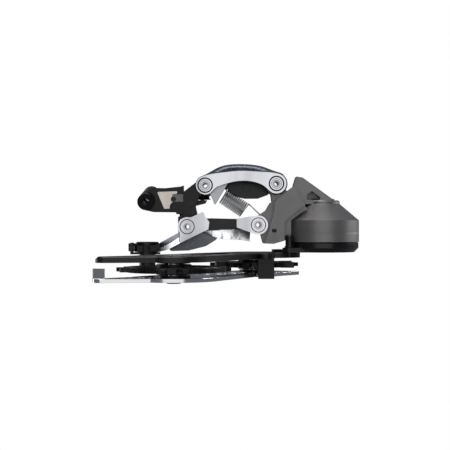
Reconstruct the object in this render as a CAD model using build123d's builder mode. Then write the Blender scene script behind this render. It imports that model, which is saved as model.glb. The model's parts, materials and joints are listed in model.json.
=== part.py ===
from build123d import *
from math import cos, pi, radians, sin
import os

# A rear bicycle derailleur at its outboard, high-gear stop, in millimetres. +X is forward, +Y inboard
# towards the wheel, +Z up. The origin is where the hanger bolt's axis meets the hanger's outer face.

# ---- the parallelogram: four pivots whose pins run along Z ----
OUT_REAR = (36.3, -41.4)
IN_REAR = (25.7, -17.0)
LINK = (42.0, -1.0)
OUT_FRONT = (OUT_REAR[0] + LINK[0], OUT_REAR[1] + LINK[1])
IN_FRONT = (IN_REAR[0] + LINK[0], IN_REAR[1] + LINK[1])

LOW, HIGH = -36.0, -10.0  # lower and upper faces of the links
EAR = 4.0  # thickness of a link's ear
EAR_GAP = 0.3  # thrust gap between an ear and the boss it holds
BOSS_LOW, BOSS_HIGH = LOW + EAR + EAR_GAP, HIGH - EAR - EAR_GAP
BOSS_R = 5.0
PIN_R, PIN_BORE_R = 2.0, 1.25
PIN_RECESS = 0.2
BUSH_R = 2.9
RUN = 0.05  # radial clearance of a running fit
GROOVE_IN_R, GROOVE_OUT_R, GROOVE_DEPTH = 3.95, 4.45, 0.8

# ---- the cage: pivot, guide and tension pulley axes run along Y, given as (x, z) ----
CAGE_PIVOT = (106.6, -22.0)
GUIDE = (65.4, -22.0)
TENSION = (20.9, -104.0)
CHAIN_PITCH = 12.7
GUIDE_TEETH, TENSION_TEETH = 12, 14
OUTER_FACE, INNER_FACE = 1.4, 9.6  # the faces of the cage plates that look at the chain
OUTER_PLATE_T, INNER_PLATE_T = 3.2, 2.0
PULLEY_Y = (OUTER_FACE + INNER_FACE) / 2
PULLEY_BOLT_R, SLEEVE_R, BEARING_R = 2.5, 3.0, 7.0
TAIL = (-15.0, -123.0)  # the chain catcher behind the tension pulley
BRIDGE_ANGLE = -78.0  # the chain guide's bridge, seen from the guide pulley
BRIDGE_RING_R = 29.6

# ---- the clutch housing, revolved about the cage pivot: radii, and places along Y ----
HOUSING_R, HOUSING_BORE_R, NECK_R = 21.7, 18.6, 10.2
NECK_TOP, CONE_TOP, CONE_FOOT, SEAM, HOUSING_FOOT = -32.7, -30.6, -20.8, -13.4, -8.4
AXLE_R, AXLE_BORE_R = 5.0, 2.5
BASE_TOP, BASE_FOOT, BASE_R = -7.7, OUTER_FACE - OUTER_PLATE_T, 21.4
STOP_PIN = (86.0, -35.3)
STOP_PIN_R, STOP_PIN_TOP = 2.45, -12.1

# ---- the hanger bolt ----
BOLT_R, BOLT_LENGTH, BOLT_BORE_R = 5.0, 8.5, 2.6
SHOULDER_R, BOLT_HEAD_OUT_R = 5.6, 7.0  # the journal the knuckle turns on, and the head
EYE_R, EYE_INNER, EYE_OUTER = 8.0, -1.4, -5.4
WASHER_T = 1.1

os.makedirs("parts", exist_ok=True)


def keep(builder, name):
    builder.part.label = name
    export_step(builder.part, f"parts/{name}.step")


def ring_point(centre, radius, angle):
    return (centre[0] + radius * cos(radians(angle)), centre[1] + radius * sin(radians(angle)))


def disc(spots, low, high, radius, mode=Mode.ADD):
    """Round bars along Z at (x, y) spots, in the part that is being built."""
    with BuildSketch(Plane.XY.offset(low)) as face:
        with Locations(*spots):
            Circle(radius)
    extrude(face.sketch, amount=high - low, mode=mode)


def slab(outline, low, high, soft=0.0, mode=Mode.ADD):
    """A plate between two heights, from an (x, y) outline with its corners rounded by soft."""
    with BuildSketch(Plane.XY.offset(low)) as face:
        Polygon(*outline, align=None)
        if soft:
            fillet(face.vertices(), soft)
    extrude(face.sketch, amount=high - low, mode=mode)


def side_disc(spots, inboard, outboard, radius, mode=Mode.ADD):
    """Round bars along Y at (x, z) spots."""
    with BuildSketch(Plane.XZ.offset(-inboard)) as face:
        with Locations(*spots):
            Circle(radius)
    extrude(face.sketch, amount=inboard - outboard, mode=mode)


def side_slab(outline, inboard, outboard, soft=0.0, mode=Mode.ADD):
    """A plate across Y, from an (x, z) outline."""
    with BuildSketch(Plane.XZ.offset(-inboard)) as face:
        Polygon(*outline, align=None)
        if soft:
            fillet(face.vertices(), soft)
    extrude(face.sketch, amount=inboard - outboard, mode=mode)


def side_hull(discs, inboard, outboard, mode=Mode.ADD):
    """A plate across Y: the convex outline around two or more (x, z, radius) discs."""
    with BuildSketch(Plane.XZ.offset(-inboard)) as face:
        with BuildLine():
            for x, z, radius in discs:
                CenterArc((x, z), radius, 0, 360)
        make_hull()
    extrude(face.sketch, amount=inboard - outboard, mode=mode)


def coil_spring(plane, pitch, coils, radius, wire_r):
    """A helical wire that starts on the plane and winds along its normal."""
    line = plane * Helix(pitch, pitch * coils, radius)
    with BuildSketch(Plane(origin=line @ 0, z_dir=line % 0)) as wire:
        Circle(wire_r)
    sweep(wire.sketch, path=line)


def hexagon(plane, spots, across, depth, mode=Mode.SUBTRACT):
    """Hexagonal prisms, such as key sockets, sunk along the plane's normal."""
    with BuildSketch(plane) as face:
        with Locations(*spots):
            RegularPolygon(across / 2, 6, major_radius=False)
    extrude(face.sketch, amount=depth, mode=mode)


def block(centre, half_x, half_y, low, high, soft=0.0, mode=Mode.ADD):
    """An upright rectangular block about an (x, y) centre."""
    slab([(centre[0] - half_x, centre[1] - half_y), (centre[0] + half_x, centre[1] - half_y),
          (centre[0] + half_x, centre[1] + half_y), (centre[0] - half_x, centre[1] + half_y)], low, high,
          soft, mode)


def pivot_pin(name, spot):
    with BuildPart() as pin:
        disc([spot], LOW + PIN_RECESS, HIGH - PIN_RECESS, PIN_R)
        disc([spot], LOW, HIGH, PIN_BORE_R, Mode.SUBTRACT)
    keep(pin, name)


def ear_grooves(spots):
    """The turned rings on the lower face of an ear."""
    with BuildSketch(Plane.XY.offset(LOW)) as ring:
        with Locations(*spots):
            Circle(GROOVE_OUT_R)
            Circle(GROOVE_IN_R, mode=Mode.SUBTRACT)
    extrude(ring.sketch, amount=GROOVE_DEPTH, mode=Mode.SUBTRACT)


def bushes(name, spans):
    """Plain bushes, each pressed in an ear or boss: (spot, low, high)."""
    with BuildPart() as group:
        for spot, low, high in spans:
            disc([spot], low, high, BUSH_R)
            disc([spot], low, high, PIN_R + RUN, Mode.SUBTRACT)
    keep(group, name)


# ======== root: what is clamped to the hanger ========
with BuildPart() as hanger_bolt:
    side_disc([(0, 0)], BOLT_LENGTH, 0, BOLT_R)
    side_disc([(0, 0)], 0, EYE_OUTER, SHOULDER_R)
    side_disc([(0, 0)], EYE_OUTER, EYE_OUTER - 2.2, BOLT_HEAD_OUT_R)
    chamfer(hanger_bolt.edges().group_by(Axis.Y)[0], 0.5)
    side_disc([(0, 0)], BOLT_LENGTH, EYE_OUTER, BOLT_BORE_R, Mode.SUBTRACT)
    hexagon(Plane.XZ.offset(-EYE_OUTER), [(0, 0)], 6.0, 2.2)
keep(hanger_bolt, "hanger_bolt")

TAB_X, TAB_T, TAB_TOP = -10.0, 1.6, -1.6
with BuildPart() as stop_washer:
    side_disc([(0, 0)], 0, -WASHER_T, EYE_R)
    side_slab([(TAB_X, -8.5), (-4.0, -7.5), (-4.0, 0), (TAB_X, TAB_TOP)], 0, -WASHER_T)
    side_slab([(TAB_X, -8.5), (TAB_X + TAB_T, -8.5), (TAB_X + TAB_T, TAB_TOP), (TAB_X, TAB_TOP)], 0, -7.2)
    side_disc([(0, 0)], 0, -WASHER_T, SHOULDER_R + 0.1, Mode.SUBTRACT)
keep(stop_washer, "stop_washer")

# ======== B-knuckle: turns on the hanger bolt and carries the parallelogram's rear pins ========
LIMIT_SCREWS = [(28.0, -31.0), (28.4, -25.6)]
LIMIT_R = 1.5
ROLLER = (34.4, -19.4)
ROLLER_R, ROLLER_TOP, ROLLER_FOOT = 4.9, -36.0, -33.2
ROLLER_PIN_R = 1.25
LUG_FOOT = -31.0
B_SCREW = (-9.2, -4.0)
GUIDE_SEAT_X = 23.2  # the knuckle's rear face, where the cable guide sits
RIB_TOP, RIB_FOOT = (21.6, LOW), (6.0, -8.6)  # the ends of the arm's rib, as (x, z)
RIB_STRETCH = ((RIB_TOP[0] - RIB_FOOT[0]) ** 2 + (RIB_FOOT[1] - LOW) ** 2) ** 0.5 / (RIB_TOP[0] - RIB_FOOT[0])
RIB_PLANE = Plane(origin=(RIB_TOP[0], 0, LOW), x_dir=(RIB_FOOT[0] - RIB_TOP[0], 0, RIB_FOOT[1] - LOW),
                  z_dir=(LOW - RIB_FOOT[1], 0, RIB_FOOT[0] - RIB_TOP[0]))
RIB_OUTLINE = [(21.6, -11.2), (15.8, -7.4), (9.0, -4.2), (6.0, -3.2), (6.0, -1.3), (13.0, -2.9), (21.6, -7.4)]
with BuildPart() as b_knuckle:
    # the boss of the outer rear pivot and the block below it
    disc([OUT_REAR], BOSS_LOW, BOSS_HIGH, BOSS_R)
    slab([(GUIDE_SEAT_X, -37.5), (33.0, -45.0), (36.3, -41.4), (33.4, -36.6), (30.4, -29.0), (31.4, -24.6),
          (29.6, -22.8), (GUIDE_SEAT_X, -22.6)], BOSS_LOW, BOSS_HIGH)
    # a cut for the cable roller, and the lug that holds the roller's inner end
    slab([(27.4, ROLLER_TOP - 0.35), (45.0, ROLLER_TOP - 0.35), (45.0, -32.85), (27.4, -32.85)],
         -25.2, BOSS_HIGH, mode=Mode.SUBTRACT)
    slab([(28.0, -32.85), (37.2, -32.85), (36.2, LUG_FOOT), (28.0, LUG_FOOT + 2)], -23.0, BOSS_HIGH)
    # the spine behind the inner rear pivot, and the arm to the hanger eye, cut from below by a slope
    slab([(20.2, -22.8), (23.2, -24.2), (29.6, -24.2), (29.6, -22.6), (25.7, -22.4), (21.6, -18.5),
          (21.6, -13.0), (22.6, -10.0), (21.4, -7.6), (10.0, -3.0), (12.0, -8.9), (20.2, -13.2)], BOSS_LOW,
          6.0)
    slab([(-6.0, EYE_OUTER), (4.5, EYE_OUTER - 0.2), (8.0, -7.0), (21.0, -13.8), (21.0, -7.9), (6.0, -1.8),
          (-6.0, EYE_INNER)], BOSS_LOW, 8.0)
    side_slab([(-40, -60), (21.0, -60), (21.0, BOSS_LOW + 0.4), (8.5, -8.1), (2.0, -7.5), (-40, -7.5)],
              10, -14.6, mode=Mode.SUBTRACT)
    # the lower ear of the inner rear pivot and its pointed shoulder
    slab([(21.6, -21.4), (28.2, -22.6), (34.6, -25.6), (35.4, -25.2), (36.4, -22.6), (38.8, -19.8),
          (38.2, -15.4), (33.0, -13.0), (22.4, -7.8), (21.3, -7.3), (21.3, -12.4)], LOW, BOSS_LOW, soft=0.3)
    disc([IN_REAR], LOW, BOSS_LOW, 5.6)
    slab([(20.8, -21.0), (24.0, -23.6), (29.4, -24.0), (29.4, -22.2), (22.0, -19.0), (22.0, -8.4),
          (20.8, -8.0)],
         LOW + 0.9, BOSS_LOW + 0.9)
    # the upper ear, and the shelf over the inner link
    slab([(20.5, -24.0), (26.0, -24.0), (36.0, -22.5), (43.0, -17.0), (43.0, -9.2), (36.2, -5.0),
          (26.0, -2.4), (14.0, -2.0), (14.0, -9.8), (20.5, -13.2)], HIGH + EAR_GAP, 2.0, soft=1.8)
    slab([(20.4, -28.0), (29.6, -28.0), (29.6, -21.2), (25.7, -11.4), (20.4, -11.0)], BOSS_HIGH,
         HIGH + EAR_GAP)
    disc([IN_REAR], BOSS_HIGH, HIGH + EAR_GAP, 5.6)
    # the rib that stands in front of the arm and slants from the ear to the eye
    with BuildSketch(RIB_PLANE) as rib:
        Polygon(*[((RIB_TOP[0] - x) * RIB_STRETCH, y) for x, y in RIB_OUTLINE], align=None)
    extrude(rib.sketch, amount=7.0, dir=(0, 0, 1))
    side_disc([(0, 0)], EYE_INNER, EYE_OUTER, EYE_R)
    side_slab([(-12.0, 1.5), (-3.0, 1.5), (-3.0, 7.2), (-12.0, 7.2)], EYE_INNER - 0.3, -6.6, soft=0.8)
    # bores: hanger bolt bushing, pins, roller pin, B-screw and limit screws
    side_disc([(0, 0)], 1, EYE_OUTER - 1, SHOULDER_R + 1.0, Mode.SUBTRACT)
    side_disc([(0, 0)], EYE_OUTER, EYE_OUTER - 8, BOLT_HEAD_OUT_R + 0.2, Mode.SUBTRACT)
    disc([OUT_REAR, IN_REAR], LOW - 1, 10, PIN_R, Mode.SUBTRACT)
    disc([IN_REAR], BOSS_LOW, BOSS_HIGH, 5.5, Mode.SUBTRACT)
    side_disc([ROLLER], -30, -38.2, ROLLER_PIN_R, Mode.SUBTRACT)
    disc([B_SCREW], -10, 10, 1.5, Mode.SUBTRACT)
    disc(LIMIT_SCREWS, BOSS_LOW - 1, -20, LIMIT_R, Mode.SUBTRACT)
    ear_grooves([IN_REAR])
keep(b_knuckle, "b_knuckle")

with BuildPart() as b_axle_bushing:
    side_disc([(0, 0)], EYE_INNER, EYE_OUTER, SHOULDER_R + 1.0)
    side_disc([(0, 0)], EYE_INNER, EYE_OUTER, SHOULDER_R + RUN, Mode.SUBTRACT)
keep(b_axle_bushing, "b_axle_bushing")

with BuildPart() as b_tension_screw:
    disc([B_SCREW], TAB_TOP + 0.1, 9.0, 1.5)
    disc([B_SCREW], 9.0, 11.4, 2.5)
    hexagon(Plane.XY.offset(11.4), [B_SCREW], 2.0, -1.6)
keep(b_tension_screw, "b_tension_screw")

with BuildPart() as limit_screws:
    disc(LIMIT_SCREWS, BOSS_LOW - 0.5, -20, LIMIT_R)
    hexagon(Plane.XY.offset(BOSS_LOW - 0.5), LIMIT_SCREWS, 1.6, 1.4)
keep(limit_screws, "limit_screws")

with BuildPart() as roller_pin:
    side_disc([ROLLER], LUG_FOOT, -38.2, ROLLER_PIN_R)
keep(roller_pin, "roller_pin")

with BuildPart() as cable_roller:
    side_disc([ROLLER], ROLLER_FOOT, ROLLER_TOP, ROLLER_R)
    with BuildSketch(Plane(origin=(ROLLER[0], 0, ROLLER[1]), x_dir=(1, 0, 0), z_dir=(0, 0, 1))) as groove:
        with Locations((ROLLER_R + 0.25, (ROLLER_TOP + ROLLER_FOOT) / 2)):
            Circle(1.0)
    revolve(groove.sketch, Axis((ROLLER[0], 0, ROLLER[1]), (0, 1, 0)), mode=Mode.SUBTRACT)
    side_disc([ROLLER], ROLLER_FOOT, ROLLER_TOP, ROLLER_PIN_R + RUN, Mode.SUBTRACT)
keep(cable_roller, "cable_roller")

# the cable guide: an arm behind the knuckle with the socket that holds the end of the outer cable
SOCKET = Plane(origin=(0.8, -31.6, -30.0), x_dir=(1, 0, 0), z_dir=(0.12, -0.25, 1.0))
SOCKET_R, SOCKET_BORE_R, SOCKET_DEPTH, SOCKET_LENGTH = 5.0, 2.3, 9.0, 22.0
FERRULE_BORE_R = 1.0
ARM_LOW, ARM_HIGH = -26.0, -15.0
CLAMP_LOW = -32.4
CLAMP_BLOCK = [(16.8, -36.4), (GUIDE_SEAT_X, -36.4), (GUIDE_SEAT_X, -24.4), (19.3, -24.4), (16.8, -31.7)]
INSERT = [(7.5, -37.7), (19.8, -38.2), (15.5, -27.8), (11.8, -27.6)]
with BuildPart() as cable_guide:
    slab([(-1.0, -36.6), (3.8, -40.2), (12.4, -40.0), (21.6, -41.0), (GUIDE_SEAT_X, -41.6),
          (GUIDE_SEAT_X, -25.2), (18.6, -25.6), (4.8, -25.8), (0.2, -26.8)], ARM_LOW, ARM_HIGH)
    with BuildSketch(SOCKET) as boss:
        Circle(SOCKET_R)
    extrude(boss.sketch, amount=SOCKET_LENGTH)
    # the window for the insert plate
    slab(INSERT, ARM_LOW - 0.01, ARM_LOW + 1.6, soft=0.6, mode=Mode.SUBTRACT)
    # the raised clamp block against the knuckle
    slab(CLAMP_BLOCK, CLAMP_LOW, ARM_LOW)
    with BuildSketch(Plane.YZ.offset(GUIDE_SEAT_X)) as slope:
        Polygon((-37.0, -28.0), (-31.8, CLAMP_LOW), (-31.8, -34.0), (-37.0, -34.0), align=None)
    extrude(slope.sketch, amount=-8.0, mode=Mode.SUBTRACT)
    with BuildSketch(SOCKET) as mouth:
        Circle(SOCKET_BORE_R)
    extrude(mouth.sketch, amount=SOCKET_DEPTH, mode=Mode.SUBTRACT)
    with BuildSketch(SOCKET.offset(SOCKET_DEPTH)) as inner_mouth:
        Circle(FERRULE_BORE_R + 0.6)
    extrude(inner_mouth.sketch, amount=SOCKET_LENGTH - SOCKET_DEPTH + 1, mode=Mode.SUBTRACT)
    disc([(17.6, -33.4), (18.2, -28.6)], ARM_LOW - 8, ARM_LOW + 5, 1.4, Mode.SUBTRACT)
keep(cable_guide, "cable_guide")

with BuildPart() as guide_insert:
    slab(INSERT, ARM_LOW - 0.5, ARM_LOW + 1.6, soft=0.6)
    slab(CLAMP_BLOCK, ARM_LOW - 1, ARM_LOW, mode=Mode.SUBTRACT)
    disc([(17.6, -33.4)], ARM_LOW - 1, ARM_LOW + 3, 1.9, Mode.SUBTRACT)
    disc([(18.2, -28.6)], ARM_LOW - 1, ARM_LOW + 3, 3.2, Mode.SUBTRACT)
keep(guide_insert, "guide_insert")

with BuildPart() as guide_screws:
    for spot in [(17.6, -33.4), (18.2, -28.6)]:
        disc([spot], ARM_LOW - 4.6, ARM_LOW + 5, 1.4)
    hexagon(Plane.XY.offset(ARM_LOW - 4.6), [(17.6, -33.4), (18.2, -28.6)], 1.5, 1.2)
keep(guide_screws, "guide_screws")

with BuildPart() as cable_ferrule:
    with BuildSketch(SOCKET.offset(SOCKET_DEPTH)) as sleeve:
        Circle(FERRULE_BORE_R + 0.6)
        Circle(FERRULE_BORE_R, mode=Mode.SUBTRACT)
    extrude(sleeve.sketch, amount=SOCKET_LENGTH - SOCKET_DEPTH + 1.5)
keep(cable_ferrule, "cable_ferrule")

pivot_pin("pin_outer_rear", OUT_REAR)
pivot_pin("pin_inner_rear", IN_REAR)
pivot_pin("pin_outer_front", OUT_FRONT)
pivot_pin("pin_inner_front", IN_FRONT)

# ======== outer link: a bulged skin between two plates, with the knuckles' bosses between them ========
CLAMP = (61.0, -40.6)  # the cable clamp's bolt


def link_outline(rear_r, front_r, crown):
    """The link's closed outline: round ends about its pivots, a crown outboard and a waist inboard."""
    heading = {angle: (-sin(radians(angle)), cos(radians(angle))) for angle in (*REAR_SPAN, *FRONT_SPAN)}
    rear_in, rear_out = (ring_point(OUT_REAR, rear_r, angle) for angle in REAR_SPAN)
    front_out, front_in = (ring_point(OUT_FRONT, front_r, angle) for angle in FRONT_SPAN)
    with BuildLine() as line:
        CenterArc(OUT_REAR, rear_r, REAR_SPAN[0], REAR_SPAN[1] - REAR_SPAN[0])
        Spline(rear_out, *crown, front_out, tangents=[heading[REAR_SPAN[1]], heading[FRONT_SPAN[0]]])
        CenterArc(OUT_FRONT, front_r, FRONT_SPAN[0], FRONT_SPAN[1] - FRONT_SPAN[0])
        Spline(front_in, *WAIST, rear_in, tangents=[heading[FRONT_SPAN[1]], heading[REAR_SPAN[0]]])
    return line.line


REAR_SPAN, FRONT_SPAN = (40.0, 248.0), (286.0, 476.0)  # the angles that each end's arc covers
FACE_CROWN = [(45.5, -48.9), (57.0, -50.0), (69.0, -49.5)]
MID_CROWN = [(44.5, -52.7), (57.0, -54.5), (70.5, -53.0)]
WAIST = [(71.8, -40.2), (64.5, -43.4), (54.0, -43.5), (45.0, -41.0)]
with BuildPart() as outer_link:
    for height, rear_r, front_r, crown in (
        (LOW, 5.6, 6.0, FACE_CROWN), ((LOW + HIGH) / 2, 6.2, 7.4, MID_CROWN), (HIGH, 5.6, 6.0, FACE_CROWN),
    ):
        with BuildSketch(Plane.XY.offset(height)):
            with BuildLine():
                add(link_outline(rear_r, front_r, crown))
            make_face()
    loft()
    # the upper plate's arched web
    slab([(46.0, -45.0), (47.5, -40.0), (53.0, -35.6), (60.0, -33.9), (68.0, -34.0), (74.0, -36.2),
          (78.0, -42.0)],
         HIGH - EAR, HIGH, soft=1.0)
    # the room for both knuckles
    slab([(20.0, -46.9), (95.0, -48.3), (95.0, -20.0), (20.0, -20.0)], LOW + EAR, HIGH - EAR,
         mode=Mode.SUBTRACT)
    disc([OUT_REAR, OUT_FRONT], LOW - 1, HIGH + 1, BUSH_R, Mode.SUBTRACT)
    disc([CLAMP], HIGH - EAR - 1, HIGH + 1, 2.5, Mode.SUBTRACT)
    ear_grooves([OUT_REAR, OUT_FRONT])
keep(outer_link, "outer_link")

bushes("outer_link_bushings", [
    (spot, low, high) for spot in (OUT_REAR, OUT_FRONT) for low,
    high in ((LOW, LOW + EAR), (HIGH - EAR, HIGH))])

# the arm below the outer link that the cable's clamp and the return spring pull on
SPRING_AXIS = (0.833, 0.553)
SPRING_START = (46.4, -35.6)
with BuildPart() as cable_arm:
    slab([(42.4, -44.4), (49.2, -46.4), (50.3, -43.6), (42.3, -30.2), (41.5, -30.6), (40.6, -33.2),
          (39.2, -36.0)],
         LOW + EAR, LOW + EAR + 6.0)
    disc([OUT_REAR], LOW + EAR, LOW + EAR + 6.0, BOSS_R + 0.5, Mode.SUBTRACT)
keep(cable_arm, "cable_arm")

with BuildPart() as cable_clamp_washer:
    slab([(56.6, -44.2), (65.0, -44.2), (65.0, -37.4), (56.6, -37.4)], HIGH, HIGH + 1.6, soft=1.5)
    disc([CLAMP], HIGH, HIGH + 2, 2.5, Mode.SUBTRACT)
keep(cable_clamp_washer, "cable_clamp_washer")

with BuildPart() as cable_clamp_bolt:
    disc([CLAMP], HIGH - EAR, HIGH + 1.6, 2.5)
    disc([CLAMP], HIGH + 1.6, HIGH + 5.0, 4.3)
    chamfer(cable_clamp_bolt.edges().group_by(Axis.Z)[-1], 0.5)
    hexagon(Plane.XY.offset(HIGH + 5.0), [CLAMP], 4.0, -2.4)
keep(cable_clamp_bolt, "cable_clamp_bolt")

# ======== inner link: a boss inside the B-knuckle's ears, ears outside the P-knuckle's boss ========
INNER_BOSS_LOW, INNER_BOSS_HIGH = BOSS_LOW + EAR_GAP, BOSS_HIGH - EAR_GAP
# the skirt's sections along X: x, inboard y, foot z
SKIRT = [(35.0, -13.2, -31.0), (40.0, -11.0, -31.2), (46.0, -9.6, -31.4),
         (52.0, -9.2, -32.2), (57.0, -9.0, -33.4), (63.0, -8.0, -33.4)]
with BuildPart() as inner_link:
    disc([IN_REAR], INNER_BOSS_LOW, INNER_BOSS_HIGH, 5.1)
    slab([(25.7, -21.6), (40.0, -22.0), (56.0, -21.6), (60.0, -15.0), (44.0, -15.2), (36.0, -14.4),
          (31.0, -13.2),
          (25.7, -13.4)], INNER_BOSS_LOW, INNER_BOSS_HIGH)
    # the inboard skirt: its visible face slants inboard as it rises, and it is flared forward
    for x, edge, foot in SKIRT:
        with BuildSketch(Plane.YZ.offset(x)):
            Polygon((-17.0, foot), (-15.4, foot), (edge, -15.0), (edge, HIGH - 0.6), (-17.0, HIGH - 0.6),
                    align=None)
    loft(ruled=True)
    # the ears of the front pivot
    for low in (LOW, HIGH - EAR):
        disc([IN_FRONT], low, low + EAR, 5.6)
        slab([(54.9, -21.7), (62.5, -23.0), (67.7, -23.4), (71.6, -21.2), (71.0, -15.0), (65.5, -13.0),
              (61.5, -14.2),
              (54.9, -16.6)], low, low + EAR)
    slab([(48.0, -21.6), (55.2, -21.6), (55.2, -15.0), (48.0, -15.0)], HIGH - EAR, HIGH)
    disc([IN_FRONT], INNER_BOSS_LOW - 0.3, INNER_BOSS_HIGH + 0.3, BOSS_R + 0.5, Mode.SUBTRACT)
    disc([IN_REAR, IN_FRONT], LOW - 1, HIGH + 1, BUSH_R, Mode.SUBTRACT)
    ear_grooves([IN_FRONT])
keep(inner_link, "inner_link")

bushes("inner_link_bushings", [
    (IN_REAR, INNER_BOSS_LOW, INNER_BOSS_LOW + 7), (IN_REAR, INNER_BOSS_HIGH - 7, INNER_BOSS_HIGH),
    (IN_FRONT, LOW, LOW + EAR), (IN_FRONT, HIGH - EAR, HIGH)])

# ======== return spring: close coils from the cable arm, and a straight leg to the inner front pivot ========
SPRING_R, SPRING_WIRE_R, SPRING_PITCH, SPRING_COILS = 4.7, 0.5, 1.08, 13
SPRING_Z, SPRING_GAP = -25.0, 0.9
with BuildPart() as return_spring:
    coil_spring(Plane(origin=(SPRING_START[0] + SPRING_GAP * SPRING_AXIS[0],
                              SPRING_START[1] + SPRING_GAP * SPRING_AXIS[1], SPRING_Z),
                      x_dir=(0, 0, 1), z_dir=(*SPRING_AXIS, 0)), SPRING_PITCH, SPRING_COILS, SPRING_R,
                      SPRING_WIRE_R)
keep(return_spring, "return_spring")

# ======== P-knuckle: block between the front pins, web and clutch housing ========
BLOCK_EDGE = [(88.7, -41.0), (77.8, -32.4), (77.2, -31.0), (76.9, -26.3), (75.6, -21.0), (73.8, -14.6),
              (71.9, -9.5),
              (70.9, -7.1)]
BUTTON = (77.0, -14.7)
BUTTON_X, BUTTON_Y, BUTTON_TRAVEL = 2.4, 1.8, 1.5
AXIS_LINE = Axis((CAGE_PIVOT[0], 0, CAGE_PIVOT[1]), (0, 1, 0))
AXIS_PLANE = Plane(origin=(CAGE_PIVOT[0], 0, CAGE_PIVOT[1]), x_dir=(1, 0, 0), z_dir=(0, 0, 1))


def turned(outline, mode=Mode.ADD):
    """A body of revolution about the cage pivot, from (radius, y) points."""
    with BuildSketch(AXIS_PLANE) as profile:
        Polygon(*outline, align=None)
    revolve(profile.sketch, AXIS_LINE, mode=mode)


with BuildPart() as p_knuckle:
    turned([(0, NECK_TOP), (NECK_R - 0.8, NECK_TOP), (NECK_R, NECK_TOP + 0.8), (NECK_R, CONE_TOP),
            (21.0, CONE_FOOT - 0.6),
            (HOUSING_R, CONE_FOOT), (HOUSING_R, SEAM), (0, SEAM)])
    # the block's face part and the deeper part that meets the housing
    slab(BLOCK_EDGE + [(76.7, -6.9), (83.0, -8.7), (83.0, -19.6), (84.2, -21.2), (93.4, -28.6), (94.4, -30.4),
                       (94.1, -32.2)], LOW, -9.0)
    slab([(76.7, -6.9), (83.0, -8.9), (90.0, -8.9), (92.0, -14.0), (100.0, -24.0), (94.4, -30.4),
          (76.0, -28.0)],
         LOW + 4.4, -11.0)
    # necks to the two bosses
    disc([OUT_FRONT, IN_FRONT], BOSS_LOW, BOSS_HIGH, BOSS_R)
    slab([(75.0, -38.6), (82.6, -39.8), (87.0, -36.6), (88.0, -30.0), (76.5, -28.0)], BOSS_LOW, BOSS_HIGH)
    slab([(66.6, -22.8), (69.5, -24.8), (72.4, -26.8), (73.6, -29.0), (74.9, -31.2), (80.0, -33.0),
          (82.0, -20.0),
          (80.0, -9.0), (70.6, -7.3), (69.0, -13.2)], BOSS_LOW, BOSS_HIGH)
    # the slanted bar with its pocketed web
    slab([(88.7, -41.0), (90.4, -46.8), (94.1, -46.2), (111.6, -33.6), (111.6, -30.4), (94.1, -30.4)],
         -30.0, -14.0)
    slab([(96.6, -36.2), (99.6, -38.2), (104.6, -34.4), (104.4, -32.9), (96.6, -32.9)], -31.0, -20.0,
         soft=0.6,
         mode=Mode.SUBTRACT)
    # the cavity for the clutch, the axle's bore and the bore for its bushing
    turned([(0, SEAM + 1), (HOUSING_BORE_R, SEAM + 1), (HOUSING_BORE_R, -19.4), (11.0, -26.0), (0, -26.0)],
           mode=Mode.SUBTRACT)
    side_disc([CAGE_PIVOT], SEAM, -29.8, AXLE_R + 1.0, Mode.SUBTRACT)
    side_disc([CAGE_PIVOT], -29.0, NECK_TOP - 1, 7.0, Mode.SUBTRACT)
    side_disc([CAGE_PIVOT], HOUSING_FOOT + 2, SEAM, HOUSING_R + 0.1, Mode.SUBTRACT)
    disc([OUT_FRONT, IN_FRONT], LOW - 1, HIGH + 1, PIN_R, Mode.SUBTRACT)
    # the lock button's well
    block(BUTTON, BUTTON_X / 2 + 0.1, BUTTON_Y / 2 + 0.1, LOW - 1, LOW + 12, mode=Mode.SUBTRACT)
keep(p_knuckle, "p_knuckle")

with BuildPart() as neck_cap:
    side_disc([CAGE_PIVOT], -29.0, NECK_TOP - 1.0, 7.0)
    chamfer(neck_cap.edges().group_by(Axis.Y)[0], 0.4)
    hexagon(Plane.XZ.offset(1.0 - NECK_TOP), [CAGE_PIVOT], 5.0, -1.8)
keep(neck_cap, "neck_cap")

with BuildPart() as clutch_ring:
    turned([(HOUSING_BORE_R, SEAM), (HOUSING_R, SEAM), (HOUSING_R, HOUSING_FOOT + 0.6),
            (HOUSING_R - 0.6, HOUSING_FOOT),
            (15.0, HOUSING_FOOT), (15.0, HOUSING_FOOT - 1.2), (HOUSING_BORE_R, HOUSING_FOOT - 1.2)])
keep(clutch_ring, "clutch_ring")

with BuildPart() as p_axle_bushing:
    side_disc([CAGE_PIVOT], -25.9, -28.9, AXLE_R + 1.0)
    side_disc([CAGE_PIVOT], -25.9, -28.9, AXLE_R + RUN, Mode.SUBTRACT)
keep(p_axle_bushing, "p_axle_bushing")

# the one-way roller clutch: rollers between the axle and a race that the housing holds by friction
RACE_IN_R, RACE_OUT_R, RACE_LOW, RACE_HIGH = 8.2, 10.4, -12.0, -22.0
ROLLER_CLUTCH_R, ROLLER_COUNT = 1.5, 10
with BuildPart() as clutch_race:
    side_disc([CAGE_PIVOT], RACE_LOW, RACE_HIGH, RACE_OUT_R)
    side_disc([CAGE_PIVOT], RACE_LOW, RACE_HIGH, RACE_IN_R, Mode.SUBTRACT)
keep(clutch_race, "clutch_race")

with BuildPart() as clutch_rollers:
    side_disc([ring_point(CAGE_PIVOT, RACE_IN_R - ROLLER_CLUTCH_R - 0.02, 360 / ROLLER_COUNT * turn)
               for turn in range(ROLLER_COUNT)], RACE_LOW - 1, RACE_HIGH + 1, ROLLER_CLUTCH_R)
keep(clutch_rollers, "clutch_rollers")

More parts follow.
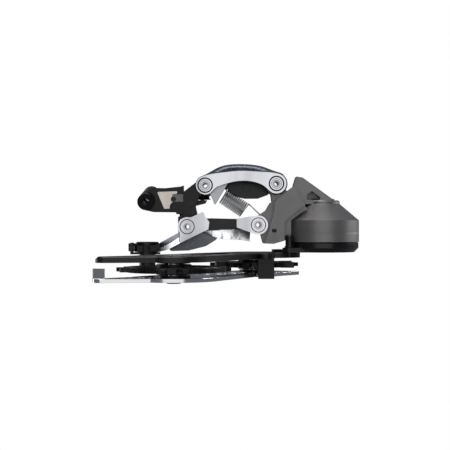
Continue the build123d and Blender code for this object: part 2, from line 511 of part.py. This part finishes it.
P_SPRING_R, P_SPRING_WIRE_R, P_SPRING_PITCH, P_SPRING_COILS = 14.4, 1.0, 2.4, 3
with BuildPart() as cage_spring:
    coil_spring(Plane(origin=(CAGE_PIVOT[0], -11.0, CAGE_PIVOT[1]), x_dir=(1, 0, 0), z_dir=(0, -1, 0)),
                P_SPRING_PITCH, P_SPRING_COILS, P_SPRING_R, P_SPRING_WIRE_R)
keep(cage_spring, "cage_spring")

# ======== cage lock button in the block's lower face ========
with BuildPart() as lock_button:
    block(BUTTON, BUTTON_X / 2, BUTTON_Y / 2, LOW - BUTTON_TRAVEL, LOW + 6, soft=0.3)
keep(lock_button, "lock_button")

with BuildPart() as button_spring:
    coil_spring(Plane(origin=(*BUTTON, LOW + 8.0)), 0.8, 4, 0.6, 0.12)
keep(button_spring, "button_spring")

# ======== cage ========
with BuildPart() as p_axle:
    side_disc([CAGE_PIVOT], BASE_FOOT, -28.8, AXLE_R)
    side_disc([CAGE_PIVOT], BASE_FOOT - 0.01, -28.8, AXLE_BORE_R, Mode.SUBTRACT)
    hexagon(Plane.XZ.offset(-BASE_FOOT), [CAGE_PIVOT], 6.0, 5.0)
keep(p_axle, "p_axle")

PLATE_LUG = [(*CAGE_PIVOT, 11.0), (85.0, -22.0, 9.0)]  # the outer plate's lug, let into the damper base
LUG_T = 1.6
with BuildPart() as damper_base:
    turned([(AXLE_R, BASE_FOOT), (BASE_R - 2.6, BASE_FOOT), (BASE_R, BASE_FOOT - 2.6),
            (BASE_R, BASE_TOP + 0.4),
            (BASE_R - 0.4, BASE_TOP), (AXLE_R, BASE_TOP)])
    side_hull([(CAGE_PIVOT[0], CAGE_PIVOT[1], 14.0), (STOP_PIN[0], STOP_PIN[1], 4.2)], BASE_FOOT, -4.6)
    side_disc([CAGE_PIVOT], BASE_FOOT, BASE_TOP - 1, AXLE_R, Mode.SUBTRACT)
    side_disc([STOP_PIN], BASE_FOOT, -5, 1.6, Mode.SUBTRACT)
    side_hull(PLATE_LUG, BASE_FOOT, BASE_FOOT - LUG_T, Mode.SUBTRACT)
keep(damper_base, "damper_base")

with BuildPart() as seal_ring:
    turned([(17.6, BASE_TOP), (20.4, BASE_TOP), (20.4, BASE_TOP - 0.5), (17.6, BASE_TOP - 0.5)])
keep(seal_ring, "seal_ring")

with BuildPart() as stop_pin:
    side_disc([STOP_PIN], BASE_FOOT, -4.6, 1.6)
    side_disc([STOP_PIN], -4.6, -5.6, 3.0)
    side_disc([STOP_PIN], -5.6, STOP_PIN_TOP, STOP_PIN_R)
    chamfer(stop_pin.edges().group_by(Axis.Y)[0], 0.5)
keep(stop_pin, "stop_pin")

BRIDGE = ring_point(GUIDE, BRIDGE_RING_R, BRIDGE_ANGLE)
BRIDGE_EAR_R = 4.2
# half the bridge block's width, its reach up, and its clip's thickness
BRIDGE_HALF, BRIDGE_UP, CLIP_T = 4.6, 2.0, 1.8
CLIP_OUTBOARD, CLIP_INBOARD = 4.4, 12.8
PULLEY_AXES = (GUIDE, TENSION)


def between(a, b, share):
    return (a[0] + (b[0] - a[0]) * share, a[1] + (b[1] - a[1]) * share)


with BuildPart() as outer_plate:
    side_hull([(78.0, -22.0, 15.0), (*GUIDE, 15.0)], OUTER_FACE, BASE_FOOT)
    side_hull([(*GUIDE, 15.0), (*TENSION, 21.0)], OUTER_FACE, BASE_FOOT)
    side_hull([(*GUIDE, 13.0), (*BRIDGE, 5.0)], OUTER_FACE, BASE_FOOT)
    side_hull([(*TENSION, 17.0), (TAIL[0] + 1.6, TAIL[1], 5.2)], OUTER_FACE, BASE_FOOT)
    # windows: a long one down the arm, three round the tension pulley's bolt, one in the tail
    side_hull([(*between(GUIDE, TENSION, 0.32), 7.4), (*between(GUIDE, TENSION, 0.62), 9.0)],
              OUTER_FACE + 1, BASE_FOOT - 1, Mode.SUBTRACT)
    side_disc([ring_point(TENSION, 13.0, angle) for angle in (-20.0, -80.0, -140.0)],
              OUTER_FACE + 1, BASE_FOOT - 1, 4.6, Mode.SUBTRACT)
    side_hull([(*between(TENSION, TAIL, 0.48), 4.6), (*between(TENSION, TAIL, 0.86), 2.4)],
              OUTER_FACE + 1, BASE_FOOT - 1, Mode.SUBTRACT)
    side_disc(PULLEY_AXES, OUTER_FACE + 1, BASE_FOOT - 1, PULLEY_BOLT_R, Mode.SUBTRACT)
    side_disc([BRIDGE], OUTER_FACE + 1, BASE_FOOT - 1, 1.5, Mode.SUBTRACT)
    chamfer(outer_plate.edges().group_by(Axis.Y)[0], 0.5)
    slab([(TAIL[0] - 6.0, OUTER_FACE), (TAIL[0] - 6.0, BASE_FOOT - 1), (TAIL[0] - 0.6, BASE_FOOT - 1)],
         TAIL[1] - 20, TAIL[1] + 20, mode=Mode.SUBTRACT)
    side_hull(PLATE_LUG, BASE_FOOT, BASE_FOOT - LUG_T)
    side_disc([(78.0, -22.0)], BASE_FOOT + 1.0, BASE_FOOT, 9.0)
    side_disc([CAGE_PIVOT], OUTER_FACE, BASE_FOOT - 3, AXLE_R, Mode.SUBTRACT)
    side_disc([STOP_PIN], OUTER_FACE, BASE_FOOT - 3, 1.6, Mode.SUBTRACT)
keep(outer_plate, "outer_plate")

INNER_BACK = INNER_FACE + INNER_PLATE_T
with BuildPart() as inner_plate:
    side_hull([(*GUIDE, 14.0), (*TENSION, 23.0)], INNER_BACK, INNER_FACE)
    side_hull([(*GUIDE, 14.0), (*BRIDGE, BRIDGE_EAR_R), (*ring_point(GUIDE, 22.0, -8.0), 5.0)], INNER_BACK,
              INNER_FACE)
    side_hull([(*TENSION, 18.0), (*TAIL, 5.2)], INNER_BACK, INNER_FACE)
    side_hull([(*between(GUIDE, TENSION, 0.28), 7.2), (*between(GUIDE, TENSION, 0.62), 9.6)],
              INNER_BACK + 1, INNER_FACE - 1, Mode.SUBTRACT)
    side_hull([(*between(TENSION, TAIL, 0.46), 5.0), (*between(TENSION, TAIL, 0.84), 2.4)],
              INNER_BACK + 1, INNER_FACE - 1, Mode.SUBTRACT)
    # the chain catcher, bent over at the tail
    side_slab([(TAIL[0] - 4.4, TAIL[1] - 2.6), (TAIL[0] + 1.6, TAIL[1] - 4.4), (TAIL[0] + 1.6, TAIL[1] - 2.8),
               (TAIL[0] - 3.2, TAIL[1] - 1.2), (TAIL[0] - 3.6, TAIL[1] + 3.4),
               (TAIL[0] - 5.1, TAIL[1] + 0.6)],
              INNER_FACE, 4.3)
    side_disc(PULLEY_AXES, INNER_BACK + 1, INNER_FACE - 1, PULLEY_BOLT_R, Mode.SUBTRACT)
    side_disc([BRIDGE], INNER_BACK + 1, INNER_FACE - 1, 1.5, Mode.SUBTRACT)
keep(inner_plate, "inner_plate")

with BuildPart() as guide_bridge:
    # the block between the plates, and the clip that wraps the inner plate's edge
    edge = BRIDGE[1] - BRIDGE_EAR_R
    left, right = BRIDGE[0] - BRIDGE_HALF, BRIDGE[0] + BRIDGE_HALF
    side_slab([(left, edge), (right, edge), (right, BRIDGE[1] + BRIDGE_UP), (left, BRIDGE[1] + BRIDGE_UP)],
              INNER_FACE, OUTER_FACE)
    side_slab([(left, edge - CLIP_T), (right, edge - CLIP_T), (right, edge), (left, edge)],
              CLIP_INBOARD, CLIP_OUTBOARD)
    side_disc([BRIDGE], INNER_FACE, OUTER_FACE, 1.5, Mode.SUBTRACT)
keep(guide_bridge, "guide_bridge")

with BuildPart() as bridge_screw:
    side_disc([BRIDGE], INNER_BACK, BASE_FOOT, 1.5)
    side_disc([BRIDGE], INNER_BACK + 1.3, INNER_BACK, 2.6)
    hexagon(Plane.XZ.offset(-INNER_BACK - 1.3), [BRIDGE], 2.0, 0.9)
keep(bridge_screw, "bridge_screw")

BOLT_HEAD_R, BOLT_HEAD_T = 4.0, 1.5
with BuildPart() as pulley_bolts:
    side_disc(PULLEY_AXES, INNER_BACK, BASE_FOOT, PULLEY_BOLT_R)
    side_disc(PULLEY_AXES, INNER_BACK + BOLT_HEAD_T, INNER_BACK, BOLT_HEAD_R)
    chamfer(pulley_bolts.edges().group_by(Axis.Y)[-1], 0.4)
    hexagon(Plane.XZ.offset(-INNER_BACK - BOLT_HEAD_T), PULLEY_AXES, 3.0, 1.1)
keep(pulley_bolts, "pulley_bolts")

CAP_T, CAP_R = 0.9, 8.8
with BuildPart() as pulley_sleeves:
    side_disc(PULLEY_AXES, INNER_FACE - CAP_T, OUTER_FACE + CAP_T, SLEEVE_R)
    side_disc(PULLEY_AXES, INNER_FACE, OUTER_FACE, PULLEY_BOLT_R, Mode.SUBTRACT)
keep(pulley_sleeves, "pulley_sleeves")

with BuildPart() as dust_caps:
    for inboard in (OUTER_FACE + CAP_T, INNER_FACE):
        side_disc(PULLEY_AXES, inboard, inboard - CAP_T, CAP_R)
    side_disc(PULLEY_AXES, INNER_FACE, OUTER_FACE, PULLEY_BOLT_R, Mode.SUBTRACT)
keep(dust_caps, "dust_caps")

# ======== pulleys ========
RIM_HALF, HUB_HALF, WEB_HALF, NARROW_HALF, WIDE_HALF = 1.5, 2.7, 1.0, 1.1, 1.7


def pulley(name, centre, teeth, wide_teeth, windows, window_r, window_ring):
    """A toothed wheel whose teeth may alternate between narrow and wide."""
    pitch_r = CHAIN_PITCH / (2 * sin(pi / teeth))
    root_r, tip_r = pitch_r - 3.6, pitch_r + 1.9
    with BuildPart() as wheel:
        side_disc([centre], PULLEY_Y + RIM_HALF, PULLEY_Y - RIM_HALF, root_r)
        for inboard, outboard in ((PULLEY_Y + 3, PULLEY_Y + WEB_HALF), (PULLEY_Y - WEB_HALF, PULLEY_Y - 3)):
            side_disc([centre], inboard, outboard, root_r - 2.6, Mode.SUBTRACT)
        side_disc([centre], PULLEY_Y + HUB_HALF, PULLEY_Y - HUB_HALF, 9.4)
        for tooth in range(teeth):
            half = WIDE_HALF if wide_teeth and tooth % 2 else NARROW_HALF
            with BuildSketch(Plane.XZ.offset(-PULLEY_Y - half)) as face:
                with Locations(Location((centre[0], centre[1]), 360 / teeth * tooth)):
                    Polygon((root_r - 1.2, -3.6), (root_r + 0.5, -3.0), (pitch_r, -2.1), (tip_r, -0.9),
                            (tip_r, 0.9),
                            (pitch_r, 2.1), (root_r + 0.5, 3.0), (root_r - 1.2, 3.6), align=None)
            extrude(face.sketch, amount=2 * half)
        side_disc([ring_point(centre, window_ring, 360 / windows * window) for window in range(windows)],
                  PULLEY_Y + 3, PULLEY_Y - 3, window_r, Mode.SUBTRACT)
        side_disc([centre], PULLEY_Y + 3, PULLEY_Y - 3, BEARING_R, Mode.SUBTRACT)
    keep(wheel, f"{name}_pulley")
    with BuildPart() as bearing:
        side_disc([centre], PULLEY_Y + 2.2, PULLEY_Y - 2.2, BEARING_R)
        side_disc([centre], PULLEY_Y + 2.2, PULLEY_Y - 2.2, SLEEVE_R + RUN, Mode.SUBTRACT)
    keep(bearing, f"{name}_bearing")


pulley("guide", GUIDE, GUIDE_TEETH, True, 6, 3.0, 14.0)
pulley("tension", TENSION, TENSION_TEETH, False, 7, 3.6, 16.0)
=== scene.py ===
import json
import math

import bmesh
import bpy
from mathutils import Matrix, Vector


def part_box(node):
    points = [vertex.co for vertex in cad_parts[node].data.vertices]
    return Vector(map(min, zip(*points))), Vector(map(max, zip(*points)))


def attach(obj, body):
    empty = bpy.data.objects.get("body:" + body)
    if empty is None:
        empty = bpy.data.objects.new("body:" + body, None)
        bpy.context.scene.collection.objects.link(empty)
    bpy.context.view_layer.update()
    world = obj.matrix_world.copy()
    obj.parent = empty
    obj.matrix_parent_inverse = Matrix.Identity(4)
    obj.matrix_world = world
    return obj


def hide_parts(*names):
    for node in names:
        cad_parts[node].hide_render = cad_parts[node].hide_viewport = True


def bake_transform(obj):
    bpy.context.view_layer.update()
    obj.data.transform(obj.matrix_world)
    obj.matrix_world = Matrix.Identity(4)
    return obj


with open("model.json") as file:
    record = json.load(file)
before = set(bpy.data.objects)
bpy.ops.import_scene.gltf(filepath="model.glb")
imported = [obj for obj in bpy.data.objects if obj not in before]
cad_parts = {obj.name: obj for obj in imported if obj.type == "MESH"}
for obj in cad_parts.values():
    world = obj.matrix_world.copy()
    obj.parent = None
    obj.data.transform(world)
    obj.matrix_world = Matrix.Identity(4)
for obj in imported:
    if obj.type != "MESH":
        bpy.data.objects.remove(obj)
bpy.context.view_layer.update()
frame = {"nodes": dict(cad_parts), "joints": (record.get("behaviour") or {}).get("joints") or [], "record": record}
MM = 0.001
scene = bpy.context.scene
record = frame["record"]
body_of_node = {node: body for body, nodes in record["behaviour"]["bodies"].items() for node in nodes}
slot_of_node = {part["node"]: part["material_slot"] for part in record["subparts"]}
joint_at = {joint["name"]: joint["pos_m"] for joint in frame["joints"] if joint.get("pos_m")}
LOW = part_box("outer_link")[0].z  # the machined lower faces of the parallelogram

# ---------------------------------------------------------------- materials

COAT_ROUGHNESS = 0.2
FINE_DETAIL = 5.0
BROAD_DETAIL = 2.0
RELIEF_DEPTH = 0.05 * MM


def new_material(name):
    material = bpy.data.materials.new(name)
    material.use_nodes = True
    tree = material.node_tree
    return material, tree.nodes, tree.links, tree.nodes["Principled BSDF"]


def grain(nodes, links, scale, detail, stretch):
    """A noise in the object's own coordinates, so that it stays on the piece as it moves."""
    where = nodes.new("ShaderNodeTexCoord")
    place = nodes.new("ShaderNodeMapping")
    place.inputs["Scale"].default_value = stretch
    noise = nodes.new("ShaderNodeTexNoise")
    noise.inputs["Scale"].default_value = scale
    noise.inputs["Detail"].default_value = detail
    links.new(where.outputs["Object"], place.inputs["Vector"])
    links.new(place.outputs["Vector"], noise.inputs["Vector"])
    return noise.outputs["Fac"]


def ramp(nodes, links, source, stops):
    """A colour ramp from (position, value or colour) stops."""
    node = nodes.new("ShaderNodeValToRGB")
    while len(node.color_ramp.elements) < len(stops):
        node.color_ramp.elements.new(0.5)
    for element, (position, value) in zip(node.color_ramp.elements, stops):
        element.position = position
        element.color = (value, value, value, 1) if isinstance(value, float) else (*value, 1)
    links.new(source, node.inputs["Fac"])
    return node.outputs["Color"]


def finish(name, colour, metallic, roughness, spread=0.05, tone=0.06, fine_scale=1500.0, relief=0.04,
           coat=0.0, specular=0.5, fine_stretch=(1, 1, 1), broad_scale=60.0, broad_stretch=(1, 1, 1)):
    """A surface whose colour and roughness drift a little over the piece, with a relief of its own grain. Where
    the colour drift is stretched into bands along X, it is painted reflection.
    """
    material, nodes, links, shader = new_material(name)
    shader.inputs["Metallic"].default_value = metallic
    shader.inputs["Coat Weight"].default_value = coat
    shader.inputs["Coat Roughness"].default_value = COAT_ROUGHNESS
    shader.inputs["Specular IOR Level"].default_value = specular
    fine = grain(nodes, links, fine_scale, FINE_DETAIL, fine_stretch)
    broad = grain(nodes, links, broad_scale, BROAD_DETAIL, broad_stretch)
    dark = tuple(c * (1 - tone) for c in colour)
    light = tuple(min(1.0, c * (1 + tone)) for c in colour)
    links.new(ramp(nodes, links, broad, [(0.38, dark), (0.62, light)]), shader.inputs["Base Color"])
    links.new(ramp(nodes, links, fine, [(0.3, roughness - spread), (0.7, roughness + spread)]),
              shader.inputs["Roughness"])
    bump = nodes.new("ShaderNodeBump")
    bump.inputs["Strength"].default_value = relief
    bump.inputs["Distance"].default_value = RELIEF_DEPTH
    links.new(fine, bump.inputs["Height"])
    links.new(bump.outputs["Normal"], shader.inputs["Normal"])
    return material


ALONG_Y = (1, 0.08, 1)  # the grain of a face brushed along Y
ALONG_Z = (1, 1, 0.08)
PAINTED_REFLECTION_BANDS = (1, 0.1, 0.1)  # painted reflection: the base colour drifts only along X, in vertical bands of lighter and darker colour that stand in for soft reflections

# Each finish is its name, colour, metallic, roughness, the spread of the roughness, the drift of the tone, the
# scale of the fine grain and its relief.
# On the finishes whose drift is stretched into bands along X, that drift is painted reflection.
MATERIALS = {
    "machined": finish("machined_aluminium", (0.70, 0.71, 0.74), 1.0, 0.27, 0.0, 0.17, 900.0, 0.0,
                       fine_stretch=ALONG_Y, broad_scale=75.0, broad_stretch=PAINTED_REFLECTION_BANDS),
    "skin": finish("gloss_black_anodised", (0.016, 0.017, 0.030), 0.9, 0.22, 0.0, 0.2, 900.0, 0.0, coat=0.25),
    "groove": finish("groove_shadow", (0.02, 0.02, 0.022), 0.6, 0.45, 0.05, 0.1),
    "casting": finish("satin_black_casting", (0.005, 0.005, 0.006), 0.0, 0.26, 0.05, 0.2, 1400.0, 0.015,
                      specular=0.3),
    "steel": finish("blued_steel", (0.16, 0.17, 0.19), 1.0, 0.28, 0.05, 0.1),
    "bright": finish("bright_steel", (0.66, 0.67, 0.69), 1.0, 0.20, 0.04, 0.04),
    "pin": finish("pin_steel", (0.40, 0.41, 0.43), 1.0, 0.22, 0.04, 0.06),
    "bronze": finish("bearing_bronze", (0.42, 0.29, 0.14), 1.0, 0.38, 0.06, 0.1, 900.0, 0.05),
    "warm": finish("warm_silver_plate", (0.62, 0.575, 0.52), 1.0, 0.34, 0.02, 0.10, 2200.0, 0.01,
                   fine_stretch=ALONG_Y, broad_stretch=PAINTED_REFLECTION_BANDS),
    "satin": finish("satin_silver", (0.50, 0.51, 0.53), 1.0, 0.34, 0.04, 0.08, 1800.0, 0.04),
    "spring": finish("spring_wire", (0.72, 0.72, 0.73), 1.0, 0.24, 0.05, 0.12),
    "knuckle": finish("matte_grey_knuckle", (0.205, 0.198, 0.198), 0.7, 0.40, 0.04, 0.06, 3000.0, 0.06),
    "gloss_black": finish("gloss_black_metal", (0.005, 0.005, 0.006), 0.0, 0.24, 0.03, 0.2, 1000.0, 0.02,
                          specular=0.4),
    "cage_black": finish("cage_black_anodised", (0.013, 0.012, 0.012), 0.35, 0.30, 0.015, 0.3, 1800.0, 0.008,
                         broad_scale=34.0, broad_stretch=PAINTED_REFLECTION_BANDS),
    "cage_silver": finish("cage_polished", (0.82, 0.82, 0.83), 1.0, 0.14, 0.03, 0.03, fine_stretch=ALONG_Z),
    "plastic": finish("moulded_black", (0.006, 0.006, 0.006), 0.0, 0.36, 0.06, 0.2, 1800.0, 0.03,
                      specular=0.3),
    "rubber": finish("seal_rubber", (0.006, 0.006, 0.006), 0.0, 0.65, 0.06, 0.2, 1500.0, 0.12, specular=0.2),
}
FINISH_OF_SLOT = {
    "steel": "steel", "bright_metal": "bright", "black_casting": "casting", "bronze": "bronze",
    "black_plastic": "plastic", "warm_silver": "warm", "pin_steel": "pin", "polished_link": "machined",
    "bushing": "bright", "satin_silver": "satin", "spring_steel": "spring", "grey_knuckle": "knuckle",
    "black_metal": "gloss_black", "seal_rubber": "rubber", "cage_black": "cage_black",
    "cage_silver": "cage_silver",
}

# ---------------------------------------------------------------- pieces made from the CAD solids

WELD = 0.002 * MM  # vertices nearer than this are one
FLAT_ANGLE = math.radians(0.05)  # faces that meet at less than this are one
BEVEL_ANGLE = math.radians(28)
SHARP_ANGLE = math.radians(32)
FLAT_WEIGHT = 80  # how far the large faces lead the shading


def stands_for(piece, node):
    """The piece replaces that CAD node and moves with its body."""
    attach(piece, body_of_node[node])
    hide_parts(node)
    return piece


def crisp(node, base=None, bevel=0.15, picks=()):
    """A copy of a CAD solid with its flats made whole and its sharp edges rounded by bevel, in mm.

    Each pick is a finish and a test(centre, normal). A face takes the finish of the last pick whose test it
    meets, or else the base, which is the finish of the node's slot unless it is given."""
    build = bmesh.new()
    build.from_mesh(frame["nodes"][node].data)
    bmesh.ops.remove_doubles(build, verts=build.verts, dist=WELD)
    bmesh.ops.dissolve_degenerate(build, edges=build.edges, dist=WELD)
    bmesh.ops.dissolve_limit(build, angle_limit=FLAT_ANGLE, verts=build.verts, edges=build.edges)
    for face in build.faces:
        face.smooth = True
        for index, (_, test) in enumerate(picks, start=1):
            if test(face.calc_center_median(), face.normal):
                face.material_index = index
    sharp = [edge for edge in build.edges if edge.is_manifold and edge.calc_face_angle(0) > BEVEL_ANGLE]
    bmesh.ops.bevel(build, geom=sharp, offset=bevel * MM, segments=2, profile=0.6, affect="EDGES",
                    clamp_overlap=True, loop_slide=True)
    data = bpy.data.meshes.new(f"{node}_finished")
    build.to_mesh(data)
    build.free()
    for name in (base or FINISH_OF_SLOT[slot_of_node[node]], *(name for name, _ in picks)):
        data.materials.append(MATERIALS[name])
    data.set_sharp_from_angle(angle=SHARP_ANGLE)
    piece = bpy.data.objects.new(f"{node}_finished", data)
    scene.collection.objects.link(piece)
    flats = piece.modifiers.new("flats_stay_flat", "WEIGHTED_NORMAL")
    flats.keep_sharp = True
    flats.weight = FLAT_WEIGHT
    return stands_for(piece, node)


FACING_DOWN = -0.9  # a lower face's normal has a z below this
GROOVE_TOP = LOW + 0.3 * MM
GROOVE_END = LOW + 1.2 * MM
WEB_LOW = LOW + 4.0 * MM
RIB_TOP = Vector((21.6 * MM, 0, LOW))
RIB_FOOT = Vector((6.0 * MM, 0, -8.6 * MM))
RIB_NORMAL = Vector((LOW - RIB_FOOT.z, 0, RIB_FOOT.x - RIB_TOP.x)).normalized()
RIB_OFF_PLANE = 0.2 * MM
RIB_OUTBOARD = -12 * MM
FLANK_REAR = 10 * MM
FLANK_OUTBOARD = -14 * MM
FLANK_LOW = LOW + 1.5 * MM
SKIRT_OUTBOARD = -16 * MM


def lower_face(centre, normal):
    return normal.z < FACING_DOWN and centre.z < GROOVE_TOP


def groove_floor(centre, normal):
    return GROOVE_TOP < centre.z < GROOVE_END


def web_face(centre, normal):
    return normal.z < FACING_DOWN and centre.z > WEB_LOW


def rib_face(centre, normal):
    on_plane = abs((centre - RIB_TOP).dot(RIB_NORMAL)) < RIB_OFF_PLANE and normal.dot(RIB_NORMAL) > 0.9
    return on_plane and centre.y > RIB_OUTBOARD


def root_flank(centre, normal):
    return (normal.z < -0.3 and centre.x > FLANK_REAR and centre.y > FLANK_OUTBOARD
            and centre.z > FLANK_LOW)


def skirt_face(centre, normal):
    return normal.z < -0.15 and normal.y > 0.5 and centre.y > SKIRT_OUTBOARD


FACE_PICKS = [("machined", lower_face), ("groove", groove_floor)]
crisp("outer_link", "skin", 0.25, [*FACE_PICKS, ("gloss_black", web_face)])
crisp("b_knuckle", "casting", 0.2, [*FACE_PICKS, ("steel", root_flank), ("machined", rib_face)])
crisp("inner_link", "gloss_black", 0.25, [*FACE_PICKS, ("machined", skirt_face)])
crisp("p_knuckle", "knuckle", 0.35)
crisp("clutch_ring", "knuckle", 0.3)
for node in ("hanger_bolt", "stop_washer", "cable_clamp_bolt", "cable_clamp_washer", "limit_screws",
             "guide_screws"):
    crisp(node, "gloss_black")
for node in ("b_tension_screw", "cable_guide", "guide_insert", "cable_arm", "cable_roller",
             "damper_base", "stop_pin", "outer_plate", "inner_plate",
             "guide_bridge", "pulley_bolts", "bridge_screw", "dust_caps", "guide_pulley", "tension_pulley",
             "neck_cap", "lock_button", "outer_link_bushings", "inner_link_bushings",
             "pin_outer_rear", "pin_inner_rear", "pin_outer_front", "pin_inner_front", "seal_ring",
             "cable_ferrule"):
    crisp(node)

for node, shape in frame["nodes"].items():
    shape.data.materials.clear()
    shape.data.materials.append(MATERIALS[FINISH_OF_SLOT[slot_of_node[node]]])

# ---------------------------------------------------------------- return spring


def wire(name, points, radius, material):
    """A round wire through the points, as a mesh."""
    curve = bpy.data.curves.new(name, "CURVE")
    curve.dimensions = "3D"
    curve.bevel_depth = radius
    curve.bevel_resolution = 4
    curve.use_fill_caps = True
    line = curve.splines.new("POLY")
    line.points.add(len(points) - 1)
    for spot, point in zip(line.points, points):
        spot.co = (*point, 1)
    shape = bpy.data.objects.new(name, curve)
    scene.collection.objects.link(shape)
    data = bpy.data.meshes.new_from_object(shape.evaluated_get(bpy.context.evaluated_depsgraph_get()))
    bpy.data.objects.remove(shape)
    for face in data.polygons:
        face.use_smooth = True
    data.materials.clear()
    data.materials.append(material)
    piece = bpy.data.objects.new(name, data)
    scene.collection.objects.link(piece)
    return piece


COIL_TURNS = 12
STEPS = 36  # points in each turn
COIL_R = 4.5 * MM
WIRE_R = 0.36 * MM
COIL_LENGTH = 15.4 * MM
COIL_START = Vector((46.9, -35.3, -25.0)) * MM
COIL_AXIS = Vector((0.833, 0.553, 0.0))
HOOK_FROM_PIN = Vector((1.6, -5.8, 0)) * MM
HOOK_RISE = 1.0 * MM
HOOK_SHARES = (0.15, 0.4, 0.7, 1.0)

up = Vector((0, 0, 1))
side = COIL_AXIS.cross(up)
front_pin = Vector(joint_at["p_follow"]) + Vector(joint_at["inner_follow"]) - Vector(joint_at["shift"])
hook_end = front_pin + HOOK_FROM_PIN
hook_tip = Vector((hook_end.x, hook_end.y, COIL_START.z + HOOK_RISE))
spring_path = []
for step in range(COIL_TURNS * STEPS + 1):
    angle = 2 * math.pi * step / STEPS
    along = COIL_LENGTH * step / (COIL_TURNS * STEPS)
    turn = (side * math.cos(angle) + up * math.sin(angle)) * COIL_R
    spring_path.append(COIL_START + COIL_AXIS * along + turn)
coil_end = spring_path[-1]
for share in HOOK_SHARES:
    spring_path.append(coil_end.lerp(hook_tip, share))
spring = wire("return_spring_wire", spring_path, WIRE_R, MATERIALS["spring"])
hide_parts("return_spring")
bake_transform(spring)

# ---------------------------------------------------------------- light, floor and camera


def panel(name, place, target, width, height, radiance, colour=(1, 1, 1)):
    """A rectangular softbox that faces the target, with its power worked out from how bright its face is."""
    data = bpy.data.lights.new(name, "AREA")
    data.shape = "RECTANGLE"
    data.size, data.size_y = width, height
    data.energy = radiance * math.pi * width * height
    data.color = colour
    lamp = bpy.data.objects.new(name, data)
    lamp.location = place
    lamp.rotation_euler = (Vector(target) - Vector(place)).to_track_quat("-Z", "Y").to_euler()
    scene.collection.objects.link(lamp)


CENTRE = (0.048, -0.018, -0.022)
FLOOR_Z = -2.4
FLOOR_HALF = 2.4
panel("below", (0.02, -0.25, -1.7), CENTRE, 1.7, 1.5, 0.75)
panel("key", (-0.10, -0.95, -0.30), CENTRE, 0.9, 0.35, 6.0)
panel("top_back", (0.10, -0.95, 0.85), CENTRE, 0.9, 0.12, 5.0, (0.8, 0.86, 1.0))
panel("rim_right", (1.00, -0.25, 0.25), CENTRE, 0.18, 0.9, 9.0)
panel("left", (-1.0, -0.05, 0.45), CENTRE, 0.7, 0.5, 2.2)
panel("inboard_back", (0.15, 0.80, 0.95), CENTRE, 1.0, 0.5, 1.6)
panel("inboard", (0.05, 1.0, -0.5), CENTRE, 0.9, 0.4, 1.2)

floor_mesh = bpy.data.meshes.new("floor")
ground = bmesh.new()
bmesh.ops.create_grid(ground, x_segments=8, y_segments=8, size=FLOOR_HALF)
ground.to_mesh(floor_mesh)
ground.free()
floor = bpy.data.objects.new("floor", floor_mesh)
floor.location = (CENTRE[0], CENTRE[1], FLOOR_Z)
scene.collection.objects.link(floor)
pale, _, _, pale_shader = new_material("pale_floor")
pale_shader.inputs["Base Color"].default_value = (0.82, 0.82, 0.82, 1)
pale_shader.inputs["Roughness"].default_value = 0.7
floor_mesh.materials.append(pale)

world = bpy.data.worlds.new("studio")
scene.world = world
world.use_nodes = True
sky = world.node_tree
background = sky.nodes["Background"]
rays = sky.nodes.new("ShaderNodeLightPath")
surround = sky.nodes.new("ShaderNodeMix")
surround.data_type = "RGBA"
surround.inputs["A"].default_value = (0.13, 0.135, 0.15, 1)
surround.inputs["B"].default_value = (1, 1, 1, 1)
sky.links.new(rays.outputs["Is Camera Ray"], surround.inputs["Factor"])
sky.links.new(surround.outputs["Result"], background.inputs["Color"])
scene.view_settings.view_transform = "Standard"

CAMERA_DISTANCE = 0.700
LENS = 93.3
camera_data = bpy.data.cameras.new("camera")
camera_data.sensor_width = 36.0
camera_data.lens = LENS
camera_data.clip_start = 0.01
camera = bpy.data.objects.new("camera", camera_data)
camera.location = (CENTRE[0], CENTRE[1], CENTRE[2] - CAMERA_DISTANCE)
camera.rotation_euler = (math.pi, 0, 0)
scene.collection.objects.link(camera)
scene.camera = camera
